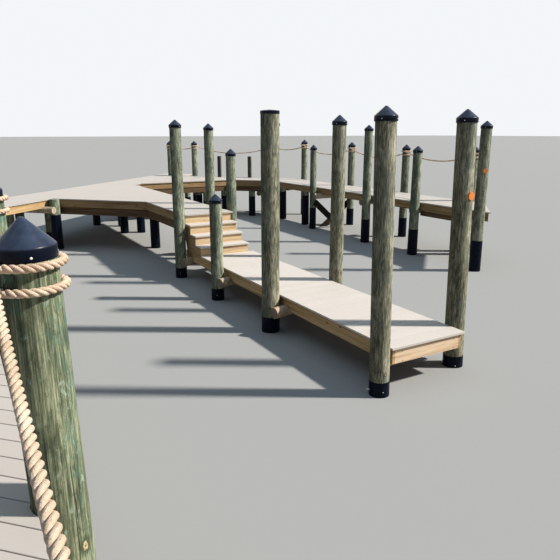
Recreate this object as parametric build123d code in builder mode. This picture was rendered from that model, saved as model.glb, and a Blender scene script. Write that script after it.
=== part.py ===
from build123d import *
from typing import NamedTuple
import math
import os

# A timber dock on round pilings, decked with vinyl boards: a near pier with a rope rail, a walkway
# along the shore, a middle finger that steps down to a low boarding platform, and a far pier.
# The origin is at the foot of the finger's outer corner piling, at the water line. +Y runs along
# the fingers towards the shore and +X across them, and the shore itself runs at 45 degrees.
# All lengths are in millimetres.

# Heights above the water
UPPER_TOP = 1280
STEP_RISE = 180
STEP_COUNT = 4
LOW_TOP = UPPER_TOP - STEP_COUNT * STEP_RISE

# Boards and framing timber
BOARD = 25
FRAME_DEPTH = 184
FRAME_THICK = 38
DECK_OVERHANG = 30
BEAM_DEPTH = 190
BEAM_THICK = 89
BEAM_SETBACK = 50
SLIM_BEAM_DEPTH = 120
SLIM_BEAM_LENGTH = 1240
BENT_INSET = 280
BRACE_RUN = 950
NOTCH_GAP = 4
MITRE_GAP = 0.5
JOIN_GAP = 40
SEAT = 0.3
LOG_RADIUS = 85
LOG_PAST = 130
LOG_PAST_SHORT = 80
LOG_DROP = 45

# The finger, its stair and its low platform
FINGER_NEAR = 150
FINGER_FAR = 1230
LOW_FAR = 1295
LOW_END = -100
LOW_FRAME_BACK = 6480
STEP_RUN = 273
STAIR_TOP = 6370
STAIR_INSET_NEAR = 5
STAIR_INSET_FAR = 55
TREAD_NOSE = 30
TREAD_PAST_NEAR = 10
TREAD_PAST_FAR = 30
RISER_THICK = 25
STRINGER_THICK = 38
STRINGER_WASTE = 300
CORNER_Y = 9070

# Slanted lines: the shore runs along y - x = constant, the legs along x + y = constant
SHORE_FRONT = 12670
SHORE_BACK = SHORE_FRONT + 1850
APPROACH_SUM = FINGER_NEAR + CORNER_Y
LEG_FAR = 20720
LEG_NEAR = LEG_FAR - 1770
SHORE_PAST_LEG = 1580
SHORE_STOP = LEG_FAR + SHORE_PAST_LEG
GUSSET_Y = 14200

# The two piers
PIER_LEFT = -5020
PIER_RIGHT = -3774
PIER_END = -5180
SHORE_START = 2 * PIER_LEFT + SHORE_FRONT
FAR_NEAR = 5900
FAR_FAR = 7100
FAR_END_LINE = -2380
TURN_Y = LEG_NEAR - FAR_NEAR

# Pilings and what is fixed to them
TALL_TOP = 3085
NEAR_RAIL_TOP = 2475
FAR_RAIL_TOP = 2510
LEAN = Vector(-0.0167, 0.0095, 1)
NEAR_LEAN = Vector(-0.0213, 0.0095, 1)
FOOT_WASTE = 10
REFLECTOR_RADIUS = 50
REFLECTOR_THICK = 12
CAP_OVER = 6
CAP_WALL = 5
CAP_SKIRT = 54
CAP_CONE = 107
NEAR_CAP_CONE = 124
CAP_LEDGE = 20
NEAR_NECK = 9
FLAT_CAP_SIDE = 40
FLAT_CAP_CROWN = 18
WRAP_WALL = 3
PEDESTAL_SIDE = 115
PEDESTAL_HEIGHT = 780

# Rope rail: two turns round each post, and a slack span from each post to the next
ROPE_RADIUS = 19.5
TURN_DROPS = (85, 180)
NEAR_TURN_DROPS = (65, 160)
ROPE_SAG_SHARE = 0.075
SAG_SHAPE = [(0.09, 0.33), (0.22, 0.69), (0.37, 0.93), (0.54, 1.0), (0.70, 0.84), (0.84, 0.54), (0.94, 0.22)]

os.makedirs("parts", exist_ok=True)


def finish(piece, name):
    """Label a piece and write it as one STEP file."""
    piece.part.label = name
    export_step(piece.part, f"parts/{name}.step")


def slab(corners, top, thick, mode=Mode.ADD):
    """A flat slab or board with these corners in plan, its top at this height."""
    with BuildSketch(Plane.XY.offset(top - thick)) as face:
        with BuildLine():
            Polyline(*corners, close=True)
        make_face()
    extrude(face.sketch, amount=thick, mode=mode)


def plank(start, end, top, depth, thick, side=1):
    """An upright plank from start to end, its thickness to the left (1) or right (-1) of that line."""
    length = math.hypot(end[0] - start[0], end[1] - start[1])
    along = ((end[0] - start[0]) / length, (end[1] - start[1]) / length)
    across = (-along[1] * thick * side, along[0] * thick * side)
    corners = [start, end]
    corners.append((end[0] + across[0], end[1] + across[1]))
    corners.append((start[0] + across[0], start[1] + across[1]))
    slab(corners, top, depth)


def shore_point(total, line):
    """The point where x + y is total, on the slanted line where y - x is line."""
    return ((total - line) / 2, (total + line) / 2)


class Pile(NamedTuple):
    """A round piling: place of its foot, radius at foot and top, height of its wood and its sleeve."""

    x: float
    y: float
    foot: float
    top: float
    wood: float
    wrap: float
    lean: Vector = Vector(0, 0, 1)
    neck: float = 0

    def radius(self, height):
        return self.foot + (self.top - self.foot) * height / self.wood

    def at(self, height):
        return Vector(self.x, self.y, 0) + self.lean * height


# Pilings of the finger, of the row beside the far pier, and the rail posts of both piers
finger_tall = {
    "corner": Pile(44, -22, 115, 112, TALL_TOP, 180, LEAN),
    "third": Pile(12, 2500, 134, 132, TALL_TOP + 85, 240),
    "stair": Pile(0, 6335, 116, 112, TALL_TOP - 20, 210),
    "outer": Pile(1428, 177, 124, 116, TALL_TOP, 150, LEAN),
    "outer_second": Pile(1410, 2795, 114, 108, TALL_TOP, 200),
    "outer_third": Pile(1410, 4900, 114, 110, TALL_TOP, 200),
    "outer_last": Pile(1410, 8020, 116, 108, TALL_TOP - 60, 200),
}
finger_short = {
    "mid": Pile(0, 4450, 114, 110, 1790, 215),
    "low_far": Pile(1410, 6820, 114, 106, 2480, 200),
}
far_row = {
    "first": Pile(5750, 10180, 102, 96, 2463, 655),
    "second": Pile(5750, 7535, 118, 110, TALL_TOP - 70, 635),
    "third": Pile(5750, 5660, 118, 108, 2515, 635),
    "last": Pile(5750, 3690, 120, 112, TALL_TOP - 30, 670),
}
FAR_POST = (114, 106)
POST_GAP = 16
far_post_x = FAR_FAR + FAR_POST[0] + POST_GAP
far_post_sum = LEG_FAR + (FAR_POST[0] + POST_GAP) * math.sqrt(2)
far_posts = [
    Pile(far_post_x, 5270, *FAR_POST, FAR_RAIL_TOP, 550),
    Pile(far_post_x, 7700, *FAR_POST, FAR_RAIL_TOP - 10, 550),
    Pile(far_post_x, 10230, *FAR_POST, FAR_RAIL_TOP + 20, 530),
    Pile(far_post_x, TURN_Y, *FAR_POST, FAR_RAIL_TOP + 65, 550),
]
leg_posts = [Pile(x, far_post_sum - x, *FAR_POST, FAR_RAIL_TOP, 550) for x in (6540, 4380)]
last_post = shore_point(far_post_sum, (SHORE_FRONT + SHORE_BACK) / 2)
leg_posts.append(Pile(*last_post, *FAR_POST, FAR_RAIL_TOP, 550))
near_post = Pile(0, 0, 124, 123, NEAR_RAIL_TOP, 160, NEAR_LEAN, NEAR_NECK)
near_post_x = PIER_RIGHT - DECK_OVERHANG + near_post.foot + SEAT - NEAR_LEAN.X * UPPER_TOP
near_posts = [near_post._replace(x=near_post_x, y=y) for y in (-4950, -2202, 460, 3120, 5780, 8440)]


def ring(pile, profile):
    """A solid turned about a piling's middle line, from a profile of radius and height."""
    axis = pile.lean.normalized()
    side = Vector(axis.Z, 0, -axis.X).normalized()
    with BuildSketch(Plane(origin=pile.at(0), x_dir=side, z_dir=side.cross(axis))) as half:
        with BuildLine():
            Polyline(*profile, close=True)
        make_face()
    revolve(half.sketch, axis=Axis(pile.at(0), axis))


def foot_of(pile):
    """Where a piling's profile starts: a leaning one starts lower, and is then cut level."""
    return -FOOT_WASTE if pile.lean.X else 0


def piling(pile):
    """A tapered round piling that stands in the water, thinner where a neck is cut for its cap."""
    skirt = pile.wood - CAP_SKIRT
    profile = [(0, foot_of(pile)), (pile.foot, foot_of(pile))]
    if pile.neck:
        profile.append((pile.radius(skirt), skirt - SEAT))
        profile.append((pile.radius(skirt) - pile.neck, skirt - SEAT))
    profile.append((pile.top - pile.neck, pile.wood))
    profile.append((0, pile.wood))
    ring(pile, profile)


def cone_cap(pile, cone):
    """A hollow cone on a skirt, which slips over the piling and rests its ledge on the wood."""
    skirt = pile.wood - CAP_SKIRT
    seat = pile.wood + SEAT
    inner = pile.radius(skirt) - pile.neck + CAP_OVER
    outer = inner + CAP_WALL
    profile = [
        (inner, skirt),
        (outer, skirt),
        (outer, seat),
        (0, seat + cone),
        (0, seat + cone - 2 * CAP_WALL),
        (inner - CAP_LEDGE, seat + CAP_LEDGE / 2),
        (inner - CAP_LEDGE, seat),
        (inner, seat),
    ]
    ring(pile, profile)


def pile_wrap(pile):
    """The black sleeve round a piling at the water line."""
    low = pile.foot + SEAT
    high = pile.radius(pile.wrap) + SEAT
    start = foot_of(pile)
    ring(pile, [(low, start), (low + WRAP_WALL, start), (high + WRAP_WALL, pile.wrap), (high, pile.wrap)])


def cut_level():
    """Cut what reaches below the water line."""
    split(bisect_by=Plane.XY, keep=Keep.TOP)


# Low platform: boards on a frame of rims and joists, carried by round logs bolted to the pilings
low_frame_top = LOW_TOP - BOARD
low_frame_under = low_frame_top - FRAME_DEPTH
low_left = FINGER_NEAR + DECK_OVERHANG
low_right = LOW_FAR - DECK_OVERHANG
low_front = LOW_END + DECK_OVERHANG
riser_face = STAIR_TOP - (STEP_COUNT - 1) * STEP_RUN + TREAD_NOSE

with BuildPart() as low_deck:
    front = [(FINGER_NEAR, LOW_END), (LOW_FAR, LOW_END)]
    back = [(LOW_FAR, riser_face), (FINGER_NEAR, riser_face)]
    slab(front + back, LOW_TOP, BOARD)
finish(low_deck, "low_deck")

with BuildPart() as low_side_rims:
    plank((low_left, low_front), (low_left, LOW_FRAME_BACK), low_frame_top, FRAME_DEPTH, FRAME_THICK, -1)
    plank((low_right, low_front), (low_right, LOW_FRAME_BACK), low_frame_top, FRAME_DEPTH, FRAME_THICK, 1)
finish(low_side_rims, "low_side_rims")

with BuildPart() as low_end_rims:
    inner_left = low_left + FRAME_THICK
    inner_right = low_right - FRAME_THICK
    for y, side in ((low_front, 1), (LOW_FRAME_BACK, -1)):
        plank((inner_left, y), (inner_right, y), low_frame_top, FRAME_DEPTH, FRAME_THICK, side)
finish(low_end_rims, "low_end_rims")

with BuildPart() as low_joists:
    for share in (1 / 3, 2 / 3):
        x = low_left + share * (low_right - low_left) - FRAME_THICK / 2
        front = (x, low_front + FRAME_THICK)
        back = (x, LOW_FRAME_BACK - FRAME_THICK)
        plank(front, back, low_frame_top, FRAME_DEPTH, FRAME_THICK, -1)
finish(low_joists, "low_joists")


def log_offset(pile, level):
    """How far from a piling's middle the middle of a log beside it lies."""
    sleeve = WRAP_WALL + SEAT if pile.wrap > level - LOG_RADIUS else 0
    return pile.radius(level) + sleeve + LOG_RADIUS + SEAT


def cross_log(near, far, side, level, past):
    """A round log along a pair of pilings, to the left (1) or right (-1) of the line between them."""
    between = (far.at(level) - near.at(level)).normalized()
    out = Vector(-between.Y, between.X, 0) * side
    ends = [pile.at(level) + out * log_offset(pile, level) for pile in (near, far)]
    along = (ends[1] - ends[0]).normalized()
    with BuildSketch(Plane(origin=ends[0] - along * past, z_dir=along)) as end_face:
        Circle(LOG_RADIUS)
    extrude(end_face.sketch, amount=(ends[1] - ends[0]).length + past + LOG_PAST_SHORT)


with BuildPart() as low_cross_logs:
    cross_log(finger_tall["third"], finger_tall["outer_second"], -1, low_frame_under, LOG_PAST)
    cross_log(finger_short["mid"], finger_tall["outer_third"], -1, low_frame_under, LOG_PAST)
    cross_log(finger_tall["stair"], finger_short["low_far"], -1, low_frame_under, LOG_PAST_SHORT)
    notch_left = low_left - NOTCH_GAP
    notch_right = low_right + NOTCH_GAP
    notch_back = LOW_FRAME_BACK + NOTCH_GAP
    front = [(notch_left, LOW_END), (notch_right, LOW_END)]
    back = [(notch_right, notch_back), (notch_left, notch_back)]
    slab(front + back, low_frame_top, FRAME_DEPTH, Mode.SUBTRACT)
    hidden = finger_tall["corner"].x - low_left
    cross_log(finger_tall["corner"], finger_tall["outer"], 1, low_frame_under - LOG_RADIUS, hidden)
finish(low_cross_logs, "low_cross_logs")

# Stair: three sawn stringers on the low frame, risers against them and treads on their notches
tread_left = FINGER_NEAR + STAIR_INSET_NEAR
tread_right = FINGER_FAR - STAIR_INSET_FAR


def stringer_outline():
    """The side of a stringer as points of y and height: notches above, a straight slope below."""
    front = riser_face + RISER_THICK
    back = STAIR_TOP + TREAD_NOSE + RISER_THICK
    points = [(front, low_frame_top + SEAT)]
    for step in range(STEP_COUNT - 1):
        tread_under = LOW_TOP + (step + 1) * STEP_RISE - BOARD
        points.append((front + step * STEP_RUN, tread_under))
        points.append((front + (step + 1) * STEP_RUN, tread_under))
    points[-1] = (back, points[-1][1])
    points.append((back, points[-1][1] - STRINGER_WASTE))
    points.append((STAIR_TOP - TREAD_NOSE, low_frame_top + SEAT))
    return points


with BuildPart() as stair_stringers:
    middle = (tread_left + tread_right - STRINGER_THICK) / 2
    for x in (tread_left, middle, tread_right - STRINGER_THICK):
        with BuildSketch(Plane(origin=(x, 0, 0), x_dir=(0, 1, 0), z_dir=(1, 0, 0))):
            with BuildLine():
                Polyline(*stringer_outline(), close=True)
            make_face()
        extrude(amount=STRINGER_THICK)
finish(stair_stringers, "stair_stringers")

with BuildPart() as stair_risers:
    for step in range(STEP_COUNT):
        y = riser_face + step * STEP_RUN
        bottom = LOW_TOP + step * STEP_RISE if step else low_frame_top
        top = LOW_TOP + (step + 1) * STEP_RISE - BOARD
        plank((tread_left, y), (tread_right, y), top, top - bottom, RISER_THICK, 1)
finish(stair_risers, "stair_risers")

with BuildPart() as stair_treads:
    left = tread_left - TREAD_PAST_NEAR
    right = tread_right + TREAD_PAST_FAR
    for step in range(STEP_COUNT - 1):
        y = riser_face + step * STEP_RUN - TREAD_NOSE
        top = LOW_TOP + (step + 1) * STEP_RISE
        plank((left, y), (right, y), top, BOARD, STEP_RUN + TREAD_NOSE - SEAT, 1)
finish(stair_treads, "stair_treads")

# Decks at the upper level
corner = (FINGER_NEAR, CORNER_Y)
shore_corner = shore_point(APPROACH_SUM, SHORE_FRONT)
far_join = (FINGER_FAR, FINGER_FAR + SHORE_FRONT)

with BuildPart() as finger_deck:
    top_of_stair = [(FINGER_NEAR, STAIR_TOP), (FINGER_FAR, STAIR_TOP)]
    slab(top_of_stair + [(FINGER_FAR, CORNER_Y), corner], UPPER_TOP, BOARD)
finish(finger_deck, "finger_deck")

with BuildPart() as approach_deck:
    slab([corner, (FINGER_FAR, CORNER_Y), far_join, shore_corner], UPPER_TOP, BOARD)
finish(approach_deck, "approach_deck")

shore_corners = [
    shore_point(SHORE_START, SHORE_FRONT),
    shore_point(SHORE_STOP, SHORE_FRONT),
    shore_point(SHORE_STOP, SHORE_BACK),
    shore_point(SHORE_START, SHORE_BACK),
]
with BuildPart() as shore_deck:
    slab(shore_corners, UPPER_TOP, BOARD)
    with Locations((*last_post, UPPER_TOP)):
        Hole(FAR_POST[0] + NOTCH_GAP)
finish(shore_deck, "shore_deck")

pier_corners = [
    (PIER_LEFT, PIER_END),
    (PIER_RIGHT, PIER_END),
    (PIER_RIGHT, PIER_RIGHT + SHORE_FRONT),
    (PIER_LEFT, PIER_LEFT + SHORE_FRONT),
]
with BuildPart() as near_pier_deck:
    slab(pier_corners, UPPER_TOP, BOARD)
    with Locations(*[post.at(UPPER_TOP) for post in near_posts]):
        Hole(near_post.foot + NOTCH_GAP)
finish(near_pier_deck, "near_pier_deck")

gusset_corners = [
    (GUSSET_Y - SHORE_FRONT, GUSSET_Y),
    (LEG_NEAR - GUSSET_Y, GUSSET_Y),
    shore_point(LEG_NEAR, SHORE_FRONT),
]
with BuildPart() as far_gusset_deck:
    slab(gusset_corners, UPPER_TOP, BOARD)
finish(far_gusset_deck, "far_gusset_deck")

leg_corners = [
    shore_point(LEG_NEAR, SHORE_FRONT),
    (FAR_NEAR, TURN_Y),
    (FAR_FAR, TURN_Y),
    (FAR_FAR, LEG_FAR - FAR_FAR),
    shore_point(LEG_FAR, SHORE_FRONT),
]
with BuildPart() as far_leg_deck:
    slab(leg_corners, UPPER_TOP, BOARD)
finish(far_leg_deck, "far_leg_deck")

far_corners = [
    (FAR_NEAR, FAR_NEAR + FAR_END_LINE),
    (FAR_FAR, FAR_FAR + FAR_END_LINE),
    (FAR_FAR, TURN_Y),
    (FAR_NEAR, TURN_Y),
]
with BuildPart() as far_pier_deck:
    slab(far_corners, UPPER_TOP, BOARD)
finish(far_pier_deck, "far_pier_deck")

# Framing under the upper decks. Each corner of their outline names the piece that the edge board
# after it belongs to, and says whether a second beam runs under that board.
frame_top = UPPER_TOP - BOARD
beam_top = frame_top - FRAME_DEPTH
outline = [
    (pier_corners[0], "near_pier", False),
    (pier_corners[1], "near_pier", False),
    (pier_corners[2], "shore", False),
    (shore_corner, "finger", True),
    (corner, "finger", True),
    ((FINGER_NEAR, STAIR_TOP + RISER_THICK), "finger", False),
    ((FINGER_FAR, STAIR_TOP + RISER_THICK), "finger", True),
    (far_join, "shore", False),
    (gusset_corners[0], "far_pier", True),
    (gusset_corners[1], "far_pier", True),
    (leg_corners[1], "far_pier", False),
    (far_corners[0], "far_pier", False),
    (far_corners[1], "far_pier", False),
    (leg_corners[3], "far_pier", False),
    (leg_corners[4], "shore", False),
    (shore_corners[1], "shore", False),
    (shore_corners[2], "shore", False),
    (shore_corners[3], "shore", False),
    (shore_corners[0], "near_pier", False),
]


def inset_corner(index, amount):
    """A corner of the decks' outline, moved in by this amount from both of its edges."""
    before, here, after = (outline[(index + k) % len(outline)][0] for k in (-1, 0, 1))
    first = Vector(here[0] - before[0], here[1] - before[1], 0).normalized()
    second = Vector(after[0] - here[0], after[1] - here[1], 0).normalized()
    normals = (Vector(-first.Y, first.X, 0), Vector(-second.Y, second.X, 0))
    middle = (normals[0] + normals[1]).normalized()
    moved = Vector(here[0], here[1], 0) + middle * (amount / middle.dot(normals[0]))
    return (moved.X, moved.Y)


def edge_board(index, inset, top, depth, thick):
    """A board along one edge of the outline, set in from it and mitred to the boards beside it."""
    outer = [Vector(*inset_corner(index, inset)), Vector(*inset_corner(index + 1, inset))]
    inner = [Vector(*inset_corner(index + 1, inset + thick)), Vector(*inset_corner(index, inset + thick))]
    along = (outer[1] - outer[0]).normalized() * MITRE_GAP
    corners = [outer[0] + along, outer[1] - along, inner[0] - along, inner[1] + along]
    slab([(c.X, c.Y) for c in corners], top, depth)


for group in ("near_pier", "finger", "shore", "far_pier"):
    with BuildPart() as edge_boards:
        for index, (start, owner, doubled) in enumerate(outline):
            if owner == group:
                edge_board(index, DECK_OVERHANG, frame_top, FRAME_DEPTH, FRAME_THICK)
    finish(edge_boards, f"{group}_edge_boards")

for group in ("finger", "far_pier"):
    with BuildPart() as lower_beams:
        for index, (start, owner, doubled) in enumerate(outline):
            if owner == group and doubled:
                edge_board(index, BEAM_SETBACK, beam_top, BEAM_DEPTH, BEAM_THICK)
        if group == "far_pier":
            x = FAR_NEAR + BEAM_SETBACK
            start = (x, far_row["third"].y)
            plank(start, (x, start[1] - SLIM_BEAM_LENGTH), beam_top, SLIM_BEAM_DEPTH, BEAM_THICK, 1)
    finish(lower_beams, f"{group}_lower_beams")


def joist(start, end):
    """A joist centred on a line in plan."""
    run = Vector(end[0] - start[0], end[1] - start[1], 0).normalized()
    half = Vector(-run.Y, run.X, 0) * FRAME_THICK / 2
    left = [(p[0] + half.X, p[1] + half.Y) for p in (end, start)]
    right = [(p[0] - half.X, p[1] - half.Y) for p in (start, end)]
    slab(right + left, frame_top, FRAME_DEPTH)


frame_in = DECK_OVERHANG + FRAME_THICK
slant_in = frame_in * math.sqrt(2) + FRAME_THICK / 2 + 2 * MITRE_GAP


def third_lines(low, high):
    """Two lines that share the width between two edges in three."""
    return [low + share * (high - low) for share in (1 / 3, 2 / 3)]


with BuildPart() as near_pier_joists:
    for x in third_lines(PIER_LEFT, PIER_RIGHT):
        joist((x, PIER_END + frame_in), (x, x + SHORE_FRONT - JOIN_GAP))
finish(near_pier_joists, "near_pier_joists")

with BuildPart() as finger_joists:
    for x in third_lines(FINGER_NEAR, FINGER_FAR):
        joist((x, STAIR_TOP + RISER_THICK + frame_in), (x, x + SHORE_FRONT - JOIN_GAP))
    for x in third_lines(FINGER_NEAR, shore_corner[0]):
        joist((x, APPROACH_SUM - x + slant_in), (x, x + SHORE_FRONT - JOIN_GAP))
finish(finger_joists, "finger_joists")

with BuildPart() as shore_joists:
    for line in third_lines(SHORE_FRONT, SHORE_BACK):
        joist(shore_point(SHORE_START + 1.5 * frame_in, line), shore_point(SHORE_STOP - 1.5 * frame_in, line))
finish(shore_joists, "shore_joists")

with BuildPart() as far_joists:
    for total in third_lines(LEG_NEAR, LEG_FAR):
        joist(shore_point(total, SHORE_FRONT + JOIN_GAP), (total - TURN_Y - JOIN_GAP, TURN_Y + JOIN_GAP))
    for x in third_lines(FAR_NEAR, FAR_FAR):
        joist((x, x + FAR_END_LINE + slant_in), (x, TURN_Y - JOIN_GAP))
    for x in third_lines(gusset_corners[0][0], gusset_corners[1][0]):
        joist((x, GUSSET_Y + frame_in), (x, min(x + SHORE_FRONT, LEG_NEAR - x) - JOIN_GAP))
finish(far_joists, "far_joists")

# Short pilings under the decks, and under the shore walkway a beam across the tops of each pair
SHORT = (118, 114)
SHORE_BENTS = (3500, 6300, 9300, 14300, 18000, 21600)
BENT_BEAM_INSET = 130
FLUSH_GAP = 6
CORNER_DROP = 200
PARTNER_STEP = 1000
PARTNER_INSET = 95
short_top = beam_top - BEAM_DEPTH
under_shore = []
with BuildPart() as shore_beams:
    for total in SHORE_BENTS:
        for line in (SHORE_FRONT + BENT_INSET, SHORE_BACK - BENT_INSET):
            under_shore.append(Pile(*shore_point(total, line), *SHORT, short_top, 400))
        side = BEAM_THICK / math.sqrt(2)
        start = shore_point(total + side, SHORE_FRONT + BENT_BEAM_INSET)
        end = shore_point(total + side, SHORE_BACK - BENT_BEAM_INSET)
        plank(start, end, beam_top, BEAM_DEPTH, BEAM_THICK, 1)
finish(shore_beams, "shore_beams")

left_piling = Pile(PIER_LEFT - 124 - FLUSH_GAP, 0, 124, 120, UPPER_TOP, 300)
left_pilings = [left_piling._replace(y=post.y) for post in near_posts[:-1]]
corner_piling = Pile(shore_corner[0], shore_corner[1] - CORNER_DROP, 128, 124, UPPER_TOP, 890)
corner_partner = Pile(corner_piling.x - PARTNER_STEP, corner_piling.y + PARTNER_STEP, *SHORT, beam_top, 400)
finger_lines = third_lines(FINGER_NEAR, FINGER_FAR)
under_finger = [
    Pile(finger_lines[0] + 100, finger_tall["outer_last"].y, *SHORT, beam_top, 750),
    Pile(finger_lines[0], 9640, *SHORT, beam_top, 750),
    Pile(finger_lines[0] - 100, 12300, *SHORT, beam_top, 750),
    Pile(finger_lines[1], 12150, *SHORT, beam_top, 750),
]
under_gusset = [Pile(x, GUSSET_Y + PARTNER_INSET, *SHORT, short_top, 550) for x in (2600, 3900)]
partner_sum = LEG_NEAR + PARTNER_INSET * math.sqrt(2)
leg_partners = [Pile(x, partner_sum - x, *SHORT, short_top, 700) for x in (5410, 4660, 3960)]
turn_partner = Pile(FAR_NEAR + PARTNER_INSET, TURN_Y - 590, *SHORT, beam_top, 950)
pier_partner = Pile(FAR_NEAR + PARTNER_INSET, TURN_Y - 2050, *SHORT, beam_top, 950)
end_support = Pile(FAR_FAR - PARTNER_INSET, FAR_FAR + FAR_END_LINE + 230, *SHORT, beam_top, 550)
under_far = under_gusset + leg_partners + [turn_partner, pier_partner, end_support]
under_decks = under_shore + [corner_partner] + under_finger + under_far

with BuildPart() as upper_cross_logs:
    for left, right in zip(left_pilings, near_posts):
        cross_log(right, left, -1, beam_top, 0)
    cross_log(corner_piling, corner_partner, 1, beam_top - LOG_DROP, LOG_PAST)
    cross_log(turn_partner, far_posts[3], -1, beam_top, 0)
    cross_log(far_row["first"], far_posts[2], -1, beam_top - LOG_DROP, LOG_PAST_SHORT)
    cross_log(far_row["second"], far_posts[1], 1, beam_top, 0)
    cross_log(far_row["third"], far_posts[0], 1, beam_top, 0)
    cross_log(far_row["last"], end_support, 1, beam_top, 0)
    notch = [inset_corner(index, DECK_OVERHANG - NOTCH_GAP) for index in range(len(outline))]
    slab(notch, frame_top, FRAME_DEPTH, Mode.SUBTRACT)
    cross_log(under_finger[0], finger_tall["outer_last"], 1, short_top - LOG_RADIUS, 0)
    cross_log(leg_partners[0], leg_posts[0], -1, short_top - LOG_RADIUS, -LOG_PAST)
    cross_log(leg_partners[2], leg_posts[1], -1, short_top - LOG_RADIUS, 0)
finish(upper_cross_logs, "upper_cross_logs")

finger_piles = list(finger_tall.values()) + list(finger_short.values())
far_piles = list(far_row.values()) + far_posts + leg_posts
piling_groups = {
    "finger_tall_pilings": list(finger_tall.values()),
    "finger_low_pilings": list(finger_short.values()),
    "far_row_pilings": list(far_row.values()),
    "far_rail_posts": far_posts + leg_posts,
    "near_rail_posts": near_posts,
    "flush_pilings": left_pilings + [corner_piling],
    "under_deck_pilings": under_decks,
}
for name, piles in piling_groups.items():
    with BuildPart() as pilings:
        for pile in piles:
            piling(pile)
        cut_level()
    finish(pilings, name)

wrap_groups = {
    "finger_pile_wraps": finger_piles,
    "far_pile_wraps": far_piles,
    "near_pile_wraps": near_posts + left_pilings + [corner_piling],
    "under_deck_pile_wraps": under_decks,
}
for name, piles in wrap_groups.items():
    with BuildPart() as wraps:
        for pile in piles:
            pile_wrap(pile)
        cut_level()
    finish(wraps, name)

coned_piles = [pile for pile in finger_piles if pile is not finger_tall["third"]]
cap_groups = {
    "finger_pile_caps": (coned_piles, CAP_CONE),
    "far_pile_caps": (far_piles, CAP_CONE),
    "near_pile_caps": (near_posts, NEAR_CAP_CONE),
}
for name, (piles, cone) in cap_groups.items():
    with BuildPart() as caps:
        for pile in piles:
            cone_cap(pile, cone)
    finish(caps, name)

with BuildPart() as flat_pile_cap:
    capped = finger_tall["third"]
    seat = capped.wood + SEAT
    rim = capped.top + CAP_WALL
    shoulder = (rim - 2 * CAP_WALL, seat + FLAT_CAP_SIDE + CAP_WALL)
    crown = (0, seat + FLAT_CAP_SIDE + FLAT_CAP_CROWN)
    ring(capped, [(0, seat), (rim, seat), (rim, seat + FLAT_CAP_SIDE), shoulder, crown])
finish(flat_pile_cap, "flat_pile_cap")


def turn_radius(post, height):
    """The middle of the rope where it is wound round a post."""
    return post.radius(height) + ROPE_RADIUS + SEAT


def rope_turns(posts, drops):
    """Two turns of rope round each post."""
    for post in posts:
        for drop in drops:
            height = post.wood - drop
            with Locations(post.at(height)):
                Torus(turn_radius(post, height), ROPE_RADIUS)


def rope_span(first, second, drops, name):
    """A slack rope from the lower turn on one post to the upper turn on the next."""
    low = first.at(first.wood - drops[1])
    high = second.at(second.wood - drops[0])
    run = Vector(high.X - low.X, high.Y - low.Y, 0).normalized()
    side = Vector(-run.Y, run.X, 0)
    leave = turn_radius(first, low.Z)
    arrive = turn_radius(second, high.Z)
    clear = math.sqrt((leave + ROPE_RADIUS + SEAT) ** 2 - (leave - ROPE_RADIUS) ** 2)
    start = low + side * leave + run * clear
    end = high + side * arrive - run * clear
    sag = ROPE_SAG_SHARE * (end - start).length
    points = [start]
    for share, drop in SAG_SHAPE:
        points.append(start + (end - start) * share - Vector(0, 0, sag * drop))
    points.append(end)
    radii = []
    for before, here, after in zip(points, points[1:], points[2:]):
        turn = math.radians((here - before).get_angle(after - here))
        shorter = min((here - before).length, (after - here).length)
        radii.append(0.45 * shorter / math.tan(turn / 2))
    with BuildPart() as span:
        with BuildLine() as route:
            FilletPolyline(*points, radius=radii)
        with BuildSketch(Plane(origin=route.line @ 0, z_dir=route.line % 0)):
            Circle(ROPE_RADIUS)
        sweep()
    finish(span, name)


with BuildPart() as near_rope_turns:
    rope_turns(near_posts, NEAR_TURN_DROPS)
finish(near_rope_turns, "near_rope_turns")

rail = far_posts + leg_posts
with BuildPart() as far_rope_turns:
    rope_turns(rail, TURN_DROPS)
finish(far_rope_turns, "far_rope_turns")

for side, posts, drops in (("near", near_posts, NEAR_TURN_DROPS), ("far", rail, TURN_DROPS)):
    for number, (first, second) in enumerate(zip(posts, posts[1:]), 1):
        rope_span(first, second, drops, f"{side}_rope_span_{number}")

# Crossed braces under the far pier: each leaves one piling above its sleeve and goes into the water
with BuildPart() as far_braces:
    pair = (far_row["first"], far_posts[2])
    for pile, other, side in ((pair[0], pair[1], -1), (pair[1], pair[0], 1)):
        height = pile.wrap + FRAME_DEPTH
        beside = pile.y + side * (pile.radius(pile.wrap) + SEAT + FRAME_THICK / 2)
        reach = math.copysign(BRACE_RUN, other.x - pile.x)
        high = Vector(pile.x, beside, height)
        low = Vector(pile.x + reach, beside, 0)
        along = (low - high).normalized()
        with BuildSketch(Plane(origin=high, z_dir=along, x_dir=(0, 1, 0))) as section:
            Rectangle(FRAME_THICK, FRAME_DEPTH)
        extrude(section.sketch, amount=(low - high).length + FRAME_DEPTH)
    cut_level()
finish(far_braces, "far_braces")

# Two low pedestals on the far leg, and the round reflectors on two outer pilings
with BuildPart() as leg_pedestals:
    with BuildSketch(Plane.XY.offset(UPPER_TOP)):
        with Locations(*[(x, LEG_FAR - 220 - x) for x in (4980, 5830)]):
            Rectangle(PEDESTAL_SIDE, PEDESTAL_SIDE, rotation=45)
    extrude(amount=PEDESTAL_HEIGHT)
finish(leg_pedestals, "leg_pedestals")

with BuildPart() as reflectors:
    for pile, bearing, height in ((finger_tall["outer"], 275, 2190), (far_row["last"], 245, 2150)):
        facing = Vector(1, 0, 0).rotate(Axis.Z, bearing)
        face = pile.at(height) + facing * (pile.radius(height) + SEAT)
        with BuildSketch(Plane(origin=face, z_dir=facing)) as disc:
            Circle(REFLECTOR_RADIUS)
        extrude(disc.sketch, amount=REFLECTOR_THICK)
finish(reflectors, "reflectors")
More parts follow.
